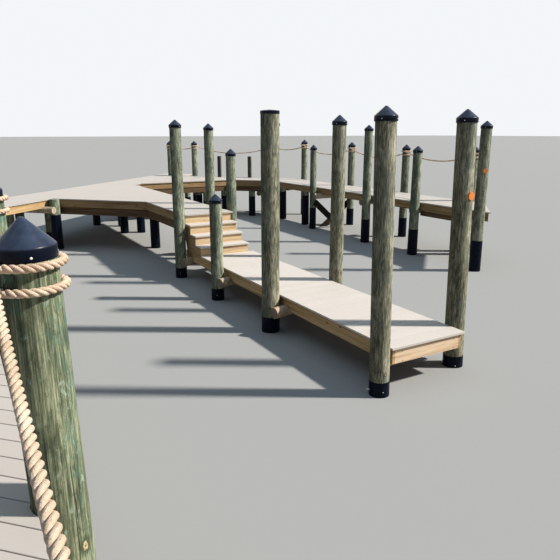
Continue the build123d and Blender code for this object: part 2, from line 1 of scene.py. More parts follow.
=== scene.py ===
import math
from collections import namedtuple

import bmesh
import bpy
from mathutils import Matrix, Vector


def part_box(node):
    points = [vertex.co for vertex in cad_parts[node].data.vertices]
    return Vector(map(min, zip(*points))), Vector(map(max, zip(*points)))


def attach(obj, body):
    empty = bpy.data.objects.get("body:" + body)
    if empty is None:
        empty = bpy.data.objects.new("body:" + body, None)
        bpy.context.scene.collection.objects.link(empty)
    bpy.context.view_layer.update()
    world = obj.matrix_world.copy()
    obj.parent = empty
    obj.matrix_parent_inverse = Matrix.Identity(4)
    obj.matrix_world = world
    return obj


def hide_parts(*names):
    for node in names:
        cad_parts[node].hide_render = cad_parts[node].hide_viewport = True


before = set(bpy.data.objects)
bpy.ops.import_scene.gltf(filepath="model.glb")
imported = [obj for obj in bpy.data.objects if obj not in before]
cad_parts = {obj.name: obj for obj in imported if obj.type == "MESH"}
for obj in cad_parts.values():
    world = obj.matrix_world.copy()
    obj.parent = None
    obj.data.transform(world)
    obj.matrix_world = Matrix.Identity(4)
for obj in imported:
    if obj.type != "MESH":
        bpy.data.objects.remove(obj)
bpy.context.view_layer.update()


# Pilings: round southern pine, pressure treated, driven with the butt down. The treatment leaves
# the wood green, and it dries in long checks round a few knots. The side towards the sun is painted
# lighter and the side away from it darker: painted light and painted shade.
class Socket:
    """A number that changes over a surface. Arithmetic on it adds the Math nodes."""

    def __init__(self, finish, link):
        self.finish = finish
        self.link = link

    def maths(self, operation, *values):
        inputs = dict(enumerate(values))
        return self.finish.node("ShaderNodeMath", {"operation": operation}, inputs)

    def __add__(self, other):
        return self.maths("ADD", self, other)

    def __sub__(self, other):
        return self.maths("SUBTRACT", self, other)

    def __rsub__(self, other):
        return self.maths("SUBTRACT", other, self)

    def __mul__(self, other):
        return self.maths("MULTIPLY", self, other)

    def __truediv__(self, other):
        return self.maths("DIVIDE", self, other)

    __radd__ = __add__
    __rmul__ = __mul__

    def floor(self):
        return self.maths("FLOOR", self)

    def between(self, low, high):
        """0 up to low, 1 from high on, and a smooth rise between. With low over high it falls."""
        inputs = {"Value": self, "From Min": low, "From Max": high}
        return self.finish.node("ShaderNodeMapRange", {"interpolation_type": "SMOOTHSTEP"}, inputs)


class Finish:
    """A material made of nodes round one shader."""

    def __init__(self, name, **fixed):
        self.material = bpy.data.materials.new(name)
        self.material.use_nodes = True
        self.tree = self.material.node_tree
        self.shader = self.tree.nodes["Principled BSDF"]
        for socket, value in fixed.items():
            self.shader.inputs[socket.replace("_", " ")].default_value = value

    def node(self, kind, settings=None, inputs=None, output=0):
        """Any node: its settings first, then the values or links of its sockets."""
        made = self.tree.nodes.new(kind)
        for key, value in (settings or {}).items():
            if key == "stops":
                ramp = made.color_ramp
                while len(ramp.elements) < len(value):
                    ramp.elements.new(1)
                for element, (place, colour) in zip(ramp.elements, value):
                    element.position = place
                    element.color = (*colour, 1)
            else:
                setattr(made, key, value)
        for key, value in (inputs or {}).items():
            self.put(value, made.inputs[key])
        return Socket(self, made.outputs[output])

    def put(self, value, socket):
        if isinstance(value, Socket):
            self.tree.links.new(value.link, socket)
        else:
            socket.default_value = value

    def vector(self, operation, first, second, output=0):
        """Vector arithmetic on two vectors, each a value or a link."""
        inputs = {0: first, 1: second}
        return self.node("ShaderNodeVectorMath", {"operation": operation}, inputs, output)

    def place(self, scale=(1, 1, 1), turn=0):
        """The place on the piece in its own coordinates, turned about Z and then stretched."""
        spot = self.node("ShaderNodeTexCoord", output="Object")
        settings = {"rotation_type": "Z_AXIS"}
        turned = self.node("ShaderNodeVectorRotate", settings, {"Vector": spot, "Angle": turn})
        return self.vector("MULTIPLY", turned, scale)

    def facing(self):
        """The way the surface faces."""
        return self.node("ShaderNodeTexCoord", output="Normal")

    def part(self, vector, axis):
        """A vector's part along one axis."""
        return self.node("ShaderNodeSeparateXYZ", None, {"Vector": vector}, output=axis)

    def noise(self, vector, detail=3.0, rough=0.5, warp=0.0):
        inputs = {"Vector": vector, "Scale": 1, "Detail": detail, "Roughness": rough,
                  "Distortion": warp}
        return self.node("ShaderNodeTexNoise", None, inputs)

    def cells(self, vector):
        """Grows from 0 at the middle of each cell to about 1 at its edges."""
        return self.node("ShaderNodeTexVoronoi", None, {"Vector": vector, "Scale": 1})

    def ramp(self, value, *stops):
        return self.node("ShaderNodeValToRGB", {"stops": stops}, {"Fac": value})

    def mix(self, amount, first, second, blend="MIX"):
        settings = {"data_type": "RGBA", "blend_type": blend}
        colours = [value if isinstance(value, Socket) else (*value, 1) for value in (first, second)]
        inputs = {"Factor": amount, 6: colours[0], 7: colours[1]}
        return self.node("ShaderNodeMix", settings, inputs, output=2)

    def feed(self, colour, rough, height, depth):
        """What changes over the surface: its colour, its roughness and its relief, in metres."""
        self.put(colour, self.shader.inputs["Base Color"])
        self.put(rough, self.shader.inputs["Roughness"])
        bump = self.node("ShaderNodeBump", None, {"Height": height, "Distance": depth})
        self.put(bump, self.shader.inputs["Normal"])


def cover(piece, finish):
    """Give one piece a finish."""
    piece.data.materials.clear()
    piece.data.materials.append(finish.material)


def dress(finish, *nodes):
    """Give these solids a finish as they are."""
    for name in nodes:
        cover(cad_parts[name], finish)


SALT_BLOOM = (0.27, 0.36, 0.30)
KNOT_WOOD = (0.34, 0.24, 0.125)
BIG_KNOT_WOOD = (0.50, 0.38, 0.21)
BIG_KNOT_HEART = (0.09, 0.055, 0.03)
KNOT_SQUASH = 0.75
# The dark in the drying checks is painted shade.
CHECK_PAINTED_SHADE = (0.03, 0.03, 0.022)
SHORE_TINT = (0.90, 1.03, 1.04)
# Painted light and shade: the side facing the sun is scaled up, the side away from it down.
SUN_SIDE = (0.857, -0.515, 0)
PAINTED_SHADE_LEVEL = 0.62
PAINTED_SUN_GAIN = 0.60


def treated_pine(name, light, mid, dark, moss, bloom=0.0, big_knots=(), fleck=5.0):
    """Round treated pine: upright streaks, green patches, checks, knots, painted sunlight and
    shade.

    bloom is the strength of the pale salts, fleck how short the streaks are, and each big knot has
    its place and its size.
    """
    wood = Finish(name, Specular_IOR_Level=0.06)
    fibre = wood.noise(wood.place((170, 170, 2.2 * fleck)), rough=0.65)
    streak = wood.noise(wood.place((64, 64, fleck)), detail=5, rough=0.7, warp=0.2)
    broad = wood.noise(wood.place((7, 7, 1.8)), detail=4, rough=0.6)
    grain = fibre * 0.36 + streak * 0.38 + broad * 0.26
    colour = wood.ramp(grain, (0.40, dark), (0.49, mid), (0.58, light))

    # Dark blotches, moss, pale stains, salt bloom and dark hairs.
    blotch = wood.noise(wood.place((12, 12, 6)), detail=6, rough=0.7)
    patch = wood.noise(wood.place((4.2, 4.2, 2.4)), detail=5, rough=0.65)
    stain = wood.noise(wood.place((13, 13, 4.2)), detail=6, rough=0.75, warp=0.8)
    spots = wood.noise(wood.place((19, 19, 9)), detail=7, rough=0.8, warp=0.4)
    hair = wood.noise(wood.place((230, 230, 5)), detail=2)
    mossy = patch.between(0.46, 0.58) * stain.between(0.42, 0.58)
    colour = wood.mix(blotch.between(0.50, 0.66) * 0.55, colour, dark)
    colour = wood.mix(mossy * 0.75, colour, moss)
    colour = wood.mix(stain.between(0.62, 0.72) * 0.55, colour, light)
    colour = wood.mix(spots.between(0.55, 0.66) * bloom, colour, SALT_BLOOM)
    colour = wood.mix(spots.between(0.46, 0.34) * bloom, colour, dark)
    colour = wood.mix(hair.between(0.56, 0.68) * 0.5, colour, dark)

    # Small knots, then the big ones, each with a dark rim, pale wood and a heart.
    knot = wood.cells(wood.place((3.4, 3.4, 2.1)))
    rim = 1 - knot.between(0.07, 0.15)
    core = 1 - knot.between(0.03, 0.07)
    colour = wood.mix(rim * 0.6, colour, dark)
    colour = wood.mix(core * 0.7, colour, KNOT_WOOD)
    ragged = wood.noise(wood.place((70, 70, 45)), detail=4, rough=0.7)
    for x, y, z, size in big_knots:
        middle = (x, y, z * KNOT_SQUASH)
        far = wood.vector("DISTANCE", wood.place((1, 1, KNOT_SQUASH)), middle, output="Value")
        far = far + ragged * 2.6 * size
        colour = wood.mix((1 - far.between(2.4 * size, 4.0 * size)) * 0.8, colour, dark)
        colour = wood.mix((1 - far.between(1.9 * size, 2.1 * size)) * 0.85, colour, BIG_KNOT_WOOD)
        colour = wood.mix((1 - far.between(1.35 * size, 1.5 * size)) * 0.8, colour, BIG_KNOT_HEART)

    # Drying checks darkened with painted shade, and a greener tint towards the shore. The side
    # towards the sun is painted lighter and the side away from it darker: painted light and shade.
    slit = wood.noise(wood.place((78, 78, 2.2)), detail=2)
    check = slit.between(0.66, 0.72)
    colour = wood.mix(check * 0.7, colour, CHECK_PAINTED_SHADE)
    inland = wood.part(wood.place(), "Y").between(2.0, 5.0)
    colour = wood.mix(inland, colour, SHORE_TINT, "MULTIPLY")
    sunny = wood.vector("DOT_PRODUCT", wood.facing(), SUN_SIDE, output="Value")
    sun_and_shade_paint = {0: colour, "Scale": sunny.between(-0.8, 0.3) * PAINTED_SUN_GAIN + PAINTED_SHADE_LEVEL}
    colour = wood.node("ShaderNodeVectorMath", {"operation": "SCALE"}, sun_and_shade_paint)
    relief = streak * 0.5 + fibre * 0.25 - check + rim * 0.5
    wood.feed(colour, 0.74 + fibre * 0.18, relief, 0.006)
    return wood


finger_pine = treated_pine(
    "treated_pine_grey", light=(0.445, 0.415, 0.315), mid=(0.182, 0.174, 0.120),
    dark=(0.037, 0.038, 0.028), moss=(0.105, 0.132, 0.105), bloom=0.22,
    big_knots=[(0.033, -0.134, 0.28, 0.010)])
dress(finger_pine, "finger_tall_pilings", "finger_low_pilings", "far_row_pilings", "far_rail_posts",
      "flush_pilings", "under_deck_pilings")
near_pine = treated_pine(
    "treated_pine_green", light=(0.30, 0.315, 0.20), mid=(0.125, 0.14, 0.084),
    dark=(0.035, 0.046, 0.031), moss=(0.055, 0.13, 0.108), bloom=0.75,
    big_knots=[(-3.602, -2.292, 1.075, 0.020)], fleck=2.2)
dress(near_pine, "near_rail_posts")

Pile = namedtuple("Pile", "x y foot_radius top_radius height lean")
STRAIGHT = Vector((0, 0, 1))
FINGER_LEAN = Vector((-0.0167, 0.0095, 1))
POST_LEAN = Vector((-0.0213, 0.0095, 1))
FINGER_PILES = {
    "corner": Pile(0.044, -0.022, 0.115, 0.112, 3.085, FINGER_LEAN),
    "stair": Pile(0.000, 6.335, 0.116, 0.112, 3.065, STRAIGHT),
    "outer": Pile(1.428, 0.177, 0.124, 0.116, 3.085, FINGER_LEAN),
    "outer_second": Pile(1.410, 2.795, 0.114, 0.108, 3.085, STRAIGHT),
    "outer_third": Pile(1.410, 4.900, 0.114, 0.110, 3.085, STRAIGHT),
    "outer_last": Pile(1.410, 8.020, 0.116, 0.108, 3.025, STRAIGHT),
    "mid": Pile(0.000, 4.450, 0.114, 0.110, 1.790, STRAIGHT),
    "low_far": Pile(1.410, 6.820, 0.114, 0.106, 2.480, STRAIGHT),
}
FAR_ROW = [
    Pile(5.750, 10.180, 0.102, 0.096, 2.463, STRAIGHT),
    Pile(5.750, 7.535, 0.118, 0.110, 3.015, STRAIGHT),
    Pile(5.750, 5.660, 0.118, 0.108, 2.515, STRAIGHT),
    Pile(5.750, 3.690, 0.120, 0.112, 3.055, STRAIGHT),
]
FAR_POSTS = [Pile(x, y, 0.114, 0.106, height, STRAIGHT) for x, y, height in (
    (7.230, 5.270, 2.510), (7.230, 7.700, 2.500), (7.230, 10.230, 2.530), (7.230, 13.050, 2.575),
    (6.540, 14.3638, 2.510), (4.380, 16.5238, 2.510), (3.6544, 17.2495, 2.510))]
NEAR_POSTS = [Pile(-3.65244, y, 0.124, 0.123, 2.475, POST_LEAN)
              for y in (-4.950, -2.202, 0.460, 3.120, 5.780, 8.440)]


def spot_on(pile, height):
    """The middle of a piling at a height, and its radius there."""
    taper = (pile.top_radius - pile.foot_radius) * height / pile.height
    return Vector((pile.x, pile.y, 0)) + pile.lean * height, pile.foot_radius + taper


# Sleeves: black plastic sheet wound round the foot of each piling and held with screws. It keeps
# worms out of the wood, and dries with a grey bloom and a few long creases.
sleeve = Finish("black_sleeve", Specular_IOR_Level=0.08)
crease = sleeve.noise(sleeve.place((6, 6, 14)), rough=0.6, warp=1.2)
dried = sleeve.noise(sleeve.place((20, 20, 9)), detail=5, rough=0.65)
greyed = sleeve.mix(dried.between(0.48, 0.75) * 0.4, (0.001, 0.003, 0.009), (0.007, 0.014, 0.030))
sleeve.feed(greyed, 0.30 + dried * 0.22, crease, 0.008)
dress(sleeve, "finger_pile_wraps", "far_pile_wraps", "near_pile_wraps", "under_deck_pile_wraps")

# Framing timber: sawn pine, tan where it is new and brown where it is old. The boards, beams and
# braces that lie in shade are made darker, to near black, as painted shade. The grain runs along
# each board, with knots.
KNOT_BROWN = (0.16, 0.085, 0.035)


def sawn_pine(name, light, mid, dark, knots=0.75):
    """Sawn pine whose grain follows each upright face of a board, whichever way the board runs."""
    wood = Finish(name, Specular_IOR_Level=0.06)
    spot = wood.node("ShaderNodeTexCoord", output="Object")
    level = wood.vector("CROSS_PRODUCT", (0, 0, 1), wood.facing())
    run = wood.vector("DOT_PRODUCT", spot, level, output="Value")
    deep = wood.vector("DOT_PRODUCT", spot, wood.facing(), output="Value")
    height = wood.part(spot, "Z")

    def stretched(along, up, inward):
        inputs = {"X": run * along, "Y": height * up, "Z": deep * inward}
        return wood.node("ShaderNodeCombineXYZ", None, inputs)

    broad = wood.noise(stretched(0.9, 34, 1.7), detail=4, rough=0.55, warp=0.6)
    fine = wood.noise(stretched(6, 190, 2), detail=2)
    colour = wood.ramp(broad * 0.75 + fine * 0.25, (0.32, dark), (0.50, mid), (0.68, light))
    knot = 1 - wood.cells(stretched(3.6, 8, 2.3)).between(0.08, 0.17)
    colour = wood.mix(knot * knots, colour, KNOT_BROWN)
    wood.feed(colour, 0.68 + fine * 0.15, broad * 0.5 + fine * 0.5 - knot * 0.6, 0.0015)
    return wood


tan_pine = sawn_pine("tan_pine", (0.80, 0.63, 0.46), (0.67, 0.495, 0.335), (0.44, 0.295, 0.175))
dress(tan_pine, "low_end_rims")
golden_pine = sawn_pine("golden_pine", (0.60, 0.43, 0.235), (0.45, 0.30, 0.15), (0.26, 0.16, 0.072))
# The low platform's side rims take this darker finish, not the tan of its end rims: painted shade.
dress(golden_pine, "near_pier_edge_boards", "near_pier_joists", "shore_edge_boards", "shore_joists",
      "low_side_rims", "low_joists")
pale_pine = sawn_pine("pale_pine", (0.71, 0.55, 0.36), (0.59, 0.435, 0.262), (0.39, 0.27, 0.15),
                      knots=0.5)
dress(pale_pine, "stair_risers")
# Part weathering, part painted shade on the framing and stringers that face away from the sun.
aged_and_shaded_pine = sawn_pine("aged_and_shaded_pine", (0.42, 0.30, 0.17), (0.30, 0.20, 0.105), (0.15, 0.09, 0.045))
dress(aged_and_shaded_pine, "finger_edge_boards", "finger_joists", "far_pier_edge_boards", "far_joists",
      "stair_stringers")
# Brown wood made darker still as painted shade under the decks.
shaded_brown_pine = sawn_pine("shaded_brown_pine", (0.17, 0.115, 0.065), (0.11, 0.07, 0.04), (0.05, 0.03, 0.018))
dress(shaded_brown_pine, "finger_lower_beams", "far_pier_lower_beams", "shore_beams")
# Near black as painted shade: the braces lie in shade under the far pier.
painted_shade_pine = sawn_pine("painted_shade_pine", (0.032, 0.026, 0.020), (0.020, 0.016, 0.013),
                      (0.009, 0.008, 0.006))
dress(painted_shade_pine, "far_braces")

# Cross logs: round pine offcuts bolted beside each pair of pilings and notched flat to carry a
# frame. Their sawn ends are pale.
log_pine = treated_pine("log_pine", light=(0.56, 0.42, 0.31), mid=(0.40, 0.28, 0.20),
                        dark=(0.17, 0.115, 0.08), moss=(0.30, 0.25, 0.17))
dress(log_pine, "low_cross_logs", "upper_cross_logs")

# Decking: hollow vinyl boards 140 mm wide, laid 5 mm apart. Their tops are embossed like wood, and
# they keep one pale beige with little change from board to board.
BOARD_PITCH = 0.145
BOARD_WIDE = 0.140
BOARD_THICK = 0.025
BOARD_ROUND = 0.004
VINYL_LIGHT = (0.61, 0.560, 0.518)
VINYL_MID = (0.54, 0.49, 0.445)
VINYL_DARK = (0.47, 0.415, 0.365)
UPPER_TOP = 1.280
LOW_TOP = 0.560


def decking(name, turn, shade):
    """Vinyl boards that run along X once turned: a tone for each board, and fine lines along it."""
    vinyl = Finish(name, Specular_IOR_Level=0.2)
    # shade scales all three tones of the vinyl: painted light and shade.
    light, mid, dark = ([part * shade for part in tone]
                        for tone in (VINYL_LIGHT, VINYL_MID, VINYL_DARK))
    number = (vinyl.part(vinyl.place(turn=turn), "Y") / BOARD_PITCH).floor()
    board = vinyl.node("ShaderNodeTexWhiteNoise", {"noise_dimensions": "1D"}, {"W": number})
    lines = vinyl.noise(vinyl.place((2.2, 260, 1), turn), rough=0.6, warp=0.3)
    dust = vinyl.noise(vinyl.place((2.4, 2.4, 2.4), turn), detail=4, rough=0.6)
    colour = vinyl.mix(lines * 0.35, light, mid)
    colour = vinyl.mix(board * 0.22, colour, dark)
    colour = vinyl.mix(dust.between(0.5, 0.8) * 0.25, colour, dark)
    vinyl.feed(colour, 0.48 + lines * 0.18, lines, 0.0006)
    return vinyl


def clear_choice():
    bpy.ops.object.select_all(action="DESELECT")


def choose(piece):
    """Select this piece alone and make it the one that is worked on."""
    clear_choice()
    piece.select_set(True)
    bpy.context.view_layer.objects.active = piece


def pick(piece, kind, wanted):
    """Select just the wanted vertices, edges or faces of a piece in edit mode."""
    bpy.ops.mesh.select_mode(type=kind)
    bpy.ops.mesh.select_all(action="DESELECT")
    shape = bmesh.from_edit_mesh(piece.data)
    for element in {"VERT": shape.verts, "EDGE": shape.edges, "FACE": shape.faces}[kind]:
        element.select = wanted(element)
    bmesh.update_edit_mesh(piece.data)


def lay_boards(node, finish, outline, top, turn, holes=()):
    """Boards that run along a direction, cut to a deck's outline and round what stands in it."""
    middle = sum((Vector(corner) for corner in outline), Vector((0, 0))) / len(outline)
    reach = max((Vector(corner) - middle).length for corner in outline) + BOARD_WIDE
    along = Vector((math.cos(turn), math.sin(turn)))
    across = Vector((-math.sin(turn), math.cos(turn)))
    first = math.floor((middle.dot(across) - reach) / BOARD_PITCH)
    clear_choice()
    bpy.ops.mesh.primitive_cube_add(size=1)
    boards = bpy.context.object
    boards.name = node + "_boards"
    boards.scale = (2 * reach, BOARD_WIDE, BOARD_THICK)
    boards.location = (middle.dot(along), (first + 0.5) * BOARD_PITCH, top - BOARD_THICK / 2)
    bpy.ops.object.transform_apply()

    def upper_long(edge):
        start, end = (vertex.co for vertex in edge.verts)
        return abs(end.x - start.x) > reach and start.z > top - BOARD_THICK / 2

    bpy.ops.object.mode_set(mode="EDIT")
    pick(boards, "EDGE", upper_long)
    bpy.ops.mesh.bevel(offset=BOARD_ROUND, segments=2)
    bpy.ops.object.mode_set(mode="OBJECT")
    row = boards.modifiers.new("row", "ARRAY")
    row.count = math.ceil(2 * reach / BOARD_PITCH) + 1
    row.use_relative_offset = False
    row.use_constant_offset = True
    row.constant_offset_displace = (0, BOARD_PITCH, 0)
    bpy.ops.object.modifier_apply(modifier="row")
    boards.rotation_euler = (0, 0, turn)
    bpy.ops.object.transform_apply()
    bpy.ops.object.mode_set(mode="EDIT")
    for start, end in zip(outline, outline[1:] + outline[:1]):
        out = (end[1] - start[1], start[0] - end[0], 0)
        bpy.ops.mesh.select_all(action="SELECT")
        bpy.ops.mesh.bisect(plane_co=(*start, 0), plane_no=out, use_fill=True, clear_outer=True)
    bpy.ops.object.mode_set(mode="OBJECT")
    for x, y, radius in holes:
        clear_choice()
        bpy.ops.mesh.primitive_cylinder_add(vertices=48, radius=radius, depth=8 * BOARD_THICK,
                                            location=(x, y, top))
        cutter = bpy.context.object
        choose(boards)
        cut = boards.modifiers.new("hole", "BOOLEAN")
        cut.object = cutter
        cut.operation = "DIFFERENCE"
        bpy.ops.object.modifier_apply(modifier="hole")
        bpy.data.objects.remove(cutter)
    cover(boards, finish)
    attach(boards, "root")
    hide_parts(node)


SLANT = -math.pi / 4
FINGER_LEFT = 0.150
FINGER_RIGHT = 1.230
FINGER_JOIN = 9.070
PLATFORM_RIGHT = 1.295
PLATFORM_OUT = -0.100
PLATFORM_IN = 5.581
NEAR_LEFT = -5.020
NEAR_RIGHT = -3.774
NEAR_JOIN = 7.650
FAR_LEFT = 5.900
FAR_RIGHT = 7.100
FAR_JOIN = 13.050
GUSSET_TIP = (3.140, 15.810)
NEAR_HOLE = 0.128
FAR_HOLE = 0.118
# The one beige vinyl is scaled to a different level on each kind of deck: painted light and shade.
slant_vinyl = decking("vinyl_slant", -SLANT, 0.76)
far_vinyl = decking("vinyl_far", -SLANT, 0.75)
straight_vinyl = decking("vinyl_straight", 0, 0.91)
near_holes = [(*spot_on(post, UPPER_TOP)[0].xy, NEAR_HOLE) for post in NEAR_POSTS]
last_post = FAR_POSTS[-1]
lay_boards("low_deck", straight_vinyl,
           [(FINGER_LEFT, PLATFORM_OUT), (PLATFORM_RIGHT, PLATFORM_OUT),
            (PLATFORM_RIGHT, PLATFORM_IN), (FINGER_LEFT, PLATFORM_IN)], LOW_TOP, 0)
lay_boards("finger_deck", slant_vinyl,
           [(FINGER_LEFT, 6.370), (FINGER_RIGHT, 6.370),
            (FINGER_RIGHT, FINGER_JOIN), (FINGER_LEFT, FINGER_JOIN)], UPPER_TOP, SLANT)
lay_boards("approach_deck", slant_vinyl,
           [(FINGER_LEFT, FINGER_JOIN), (FINGER_RIGHT, FINGER_JOIN),
            (FINGER_RIGHT, 13.900), (-1.725, 10.945)], UPPER_TOP, SLANT)
lay_boards("shore_deck", slant_vinyl,
           [(NEAR_LEFT, NEAR_JOIN), (4.815, 17.485), (3.890, 18.410), (-5.945, 8.575)],
           UPPER_TOP, SLANT, [(last_post.x, last_post.y, FAR_HOLE)])
lay_boards("near_pier_deck", slant_vinyl,
           [(NEAR_LEFT, -5.180), (NEAR_RIGHT, -5.180), (NEAR_RIGHT, 8.896), (NEAR_LEFT, NEAR_JOIN)],
           UPPER_TOP, SLANT, near_holes)
lay_boards("far_gusset_deck", far_vinyl, [(1.530, 14.200), (4.750, 14.200), GUSSET_TIP],
           UPPER_TOP, SLANT)
lay_boards("far_leg_deck", far_vinyl,
           [GUSSET_TIP, (FAR_LEFT, FAR_JOIN), (FAR_RIGHT, FAR_JOIN), (FAR_RIGHT, 13.620),
            (4.025, 16.695)], UPPER_TOP, SLANT)
lay_boards("far_pier_deck", far_vinyl,
           [(FAR_LEFT, 3.520), (FAR_RIGHT, 4.720), (FAR_RIGHT, FAR_JOIN), (FAR_LEFT, FAR_JOIN)],
           UPPER_TOP, SLANT)

# Treads: the same vinyl boards as the low platform's, laid on the notches of the sawn stringers.
# Each tread stands a little past its riser and past both sides.
dress(straight_vinyl, "stair_treads")

# Caps: blue-black plastic cones on short skirts, pressed over the sawn tops of the pilings. The rim
# of the skirt, the shoulder and the tip are rounded. The upward slope is painted blue grey: part
# dust, part painted sky reflection.
CAP_SKIRT = 0.054
CAP_WALL = 0.005
CAP_OVER = 0.006
CAP_SEAT = 0.0003
CONE_HEIGHT = 0.107
NEAR_CONE_HEIGHT = 0.124
NEAR_CAP_NECK = 0.009
SHOULDER_ROUND = 0.007
TIP_ROUND = 0.014
RIM_ROUND = 0.0012
cap_plastic = Finish("cap_plastic", Specular_IOR_Level=0.12)
slope = cap_plastic.part(cap_plastic.facing(), "Z")
haze = cap_plastic.noise(cap_plastic.place((14, 14, 5)), detail=5, rough=0.65)
ripple = cap_plastic.noise(cap_plastic.place((5, 5, 5)), detail=2)
# Blue grey on the faces that look up: part dust, part painted sky reflection.
dust = slope.between(0.1, 0.8) * (0.55 + haze.between(0.35, 0.7) * 0.45)
dust_and_sky_sheen = cap_plastic.mix(dust, (0.0015, 0.0035, 0.011), (0.030, 0.044, 0.080))
cap_plastic.feed(dust_and_sky_sheen, 0.22 + haze * 0.2, ripple, 0.003)


def join(pieces, name):
    """Make one object of these, under this name."""
    clear_choice()
    for piece in pieces:
        piece.select_set(True)
    bpy.context.view_layer.objects.active = pieces[0]
    bpy.ops.object.join()
    joined = bpy.context.object
    joined.name = name
    return joined


def cap_for(pile, cone, neck):
    """A cap for one piling: a cone drawn down into a skirt, rounded, and given its wall."""
    shoulder = pile.height + CAP_SEAT
    wood_radius = spot_on(pile, pile.height - CAP_SKIRT)[1]
    clear_choice()
    bpy.ops.mesh.primitive_cone_add(vertices=64, radius1=wood_radius - neck + CAP_OVER + CAP_WALL,
                                    radius2=0, depth=cone, location=(0, 0, shoulder + cone / 2))
    cap = bpy.context.object
    bpy.ops.object.transform_apply()
    bpy.ops.object.mode_set(mode="EDIT")
    pick(cap, "FACE", lambda face: face.normal.z < -0.9)
    bpy.ops.mesh.extrude_region_move(TRANSFORM_OT_translate={"value": (0, 0, -CAP_SKIRT)})
    bpy.ops.mesh.delete(type="FACE")
    pick(cap, "EDGE", lambda edge: all(abs(end.co.z - shoulder) < 0.001 for end in edge.verts))
    bpy.ops.mesh.bevel(offset=SHOULDER_ROUND, segments=3)
    pick(cap, "VERT", lambda vertex: vertex.co.z > shoulder + cone - 0.001)
    bpy.ops.mesh.bevel(offset=TIP_ROUND, segments=1, affect="VERTICES")
    bpy.ops.object.mode_set(mode="OBJECT")
    wall = cap.modifiers.new("wall", "SOLIDIFY")
    wall.thickness = CAP_WALL
    wall.offset = -1
    bpy.ops.object.modifier_apply(modifier="wall")
    soften = cap.modifiers.new("soften", "BEVEL")
    soften.width = RIM_ROUND
    soften.segments = 2
    soften.limit_method = "ANGLE"
    soften.angle_limit = math.radians(50)
    bpy.ops.object.modifier_apply(modifier="soften")
    foot = Matrix.Translation((pile.x, pile.y, 0))
    tilt = STRAIGHT.rotation_difference(pile.lean).to_matrix().to_4x4()
    stretch = Matrix.Scale(pile.lean.length, 4, STRAIGHT)
    cap.data.transform(foot @ tilt @ stretch)
    bpy.ops.object.shade_smooth_by_angle(angle=math.radians(40))
    return cap


for node, piles, cone, neck in (
        ("finger_pile_caps", FINGER_PILES.values(), CONE_HEIGHT, 0),
        ("far_pile_caps", FAR_ROW + FAR_POSTS, CONE_HEIGHT, 0),
        ("near_pile_caps", NEAR_POSTS, NEAR_CONE_HEIGHT, NEAR_CAP_NECK)):
    caps = join([cap_for(pile, cone, neck) for pile in piles], node + "_dressed")
    cover(caps, cap_plastic)
    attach(caps, "root")
    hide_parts(node)
dress(cap_plastic, "flat_pile_cap")

# Screws: white-painted steel with domed heads. They hold the sleeves to the feet of the pilings and
# the caps to their tops, four to each, a quarter turn apart.
SCREW_RADIUS = 0.0055
SCREW_PROUD = 0.003
SLEEVE_SKIN = 0.004
NEAR_CAP_SKIN = 0.002
CAP_SCREW_DROP = 0.030
NEAR_CAP_SCREW_DROP = 0.034
SLEEVE_SCREWS = [("corner", 0.070, -106.5), ("outer", 0.030, -121.6), ("stair", 0.10, -120),
                 ("mid", 0.10, -120), ("outer_second", 0.08, -120), ("outer_third", 0.08, -120),
                 ("low_far", 0.08, -120), ("outer_last", 0.08, -120)]
bright = Finish("white_screw", Specular_IOR_Level=0.6)
wear = bright.noise(bright.place((300, 300, 300)), detail=2)
worn = bright.mix(wear * 0.3, (0.88, 0.88, 0.86), (0.60, 0.60, 0.58))
bright.feed(worn, 0.25 + wear * 0.2, wear, 0.0003)
clear_choice()
bpy.ops.mesh.primitive_uv_sphere_add(segments=12, ring_count=8, radius=SCREW_RADIUS)
dome = bpy.context.object
dome.data.transform(Matrix.Scale(SCREW_PROUD / SCREW_RADIUS, 4, STRAIGHT))
bpy.ops.object.shade_smooth()


def copy_to(head, spot, outward):
    """A copy of a fixing's head, with its own mesh, that stands at a spot and faces outward."""
    copy = head.copy()
    copy.data = head.data.copy()
    bpy.context.collection.objects.link(copy)
    turned = outward.to_track_quat("Z", "Y").to_matrix().to_4x4()
    copy.data.transform(Matrix.Translation(spot) @ turned)
    return copy


def four_screws(pile, height, bearing, skin):
    """Four screws round a piling, on a skin of this thickness, from a bearing on."""
    middle, radius = spot_on(pile, height)
    heads = []
    for turn in range(4):
        angle = math.radians(bearing) + turn * math.pi / 2
        outward = Vector((math.cos(angle), math.sin(angle), 0))
        heads.append(copy_to(dome, middle + outward * (radius + skin), outward))
    return heads


screws = []
for pile, height, bearing in SLEEVE_SCREWS:
    screws += four_screws(FINGER_PILES[pile], height, bearing, SLEEVE_SKIN)
for pile in [*FINGER_PILES.values(), *FAR_ROW, *FAR_POSTS]:
    screws += four_screws(pile, pile.height - CAP_SCREW_DROP, -60, CAP_OVER + CAP_WALL)
for pile in NEAR_POSTS:
    screws += four_screws(pile, pile.height - NEAR_CAP_SCREW_DROP, -87.3, NEAR_CAP_SKIN)
bpy.data.objects.remove(dome)
heads = join(screws, "white_screws")
cover(heads, bright)
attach(heads, "root")

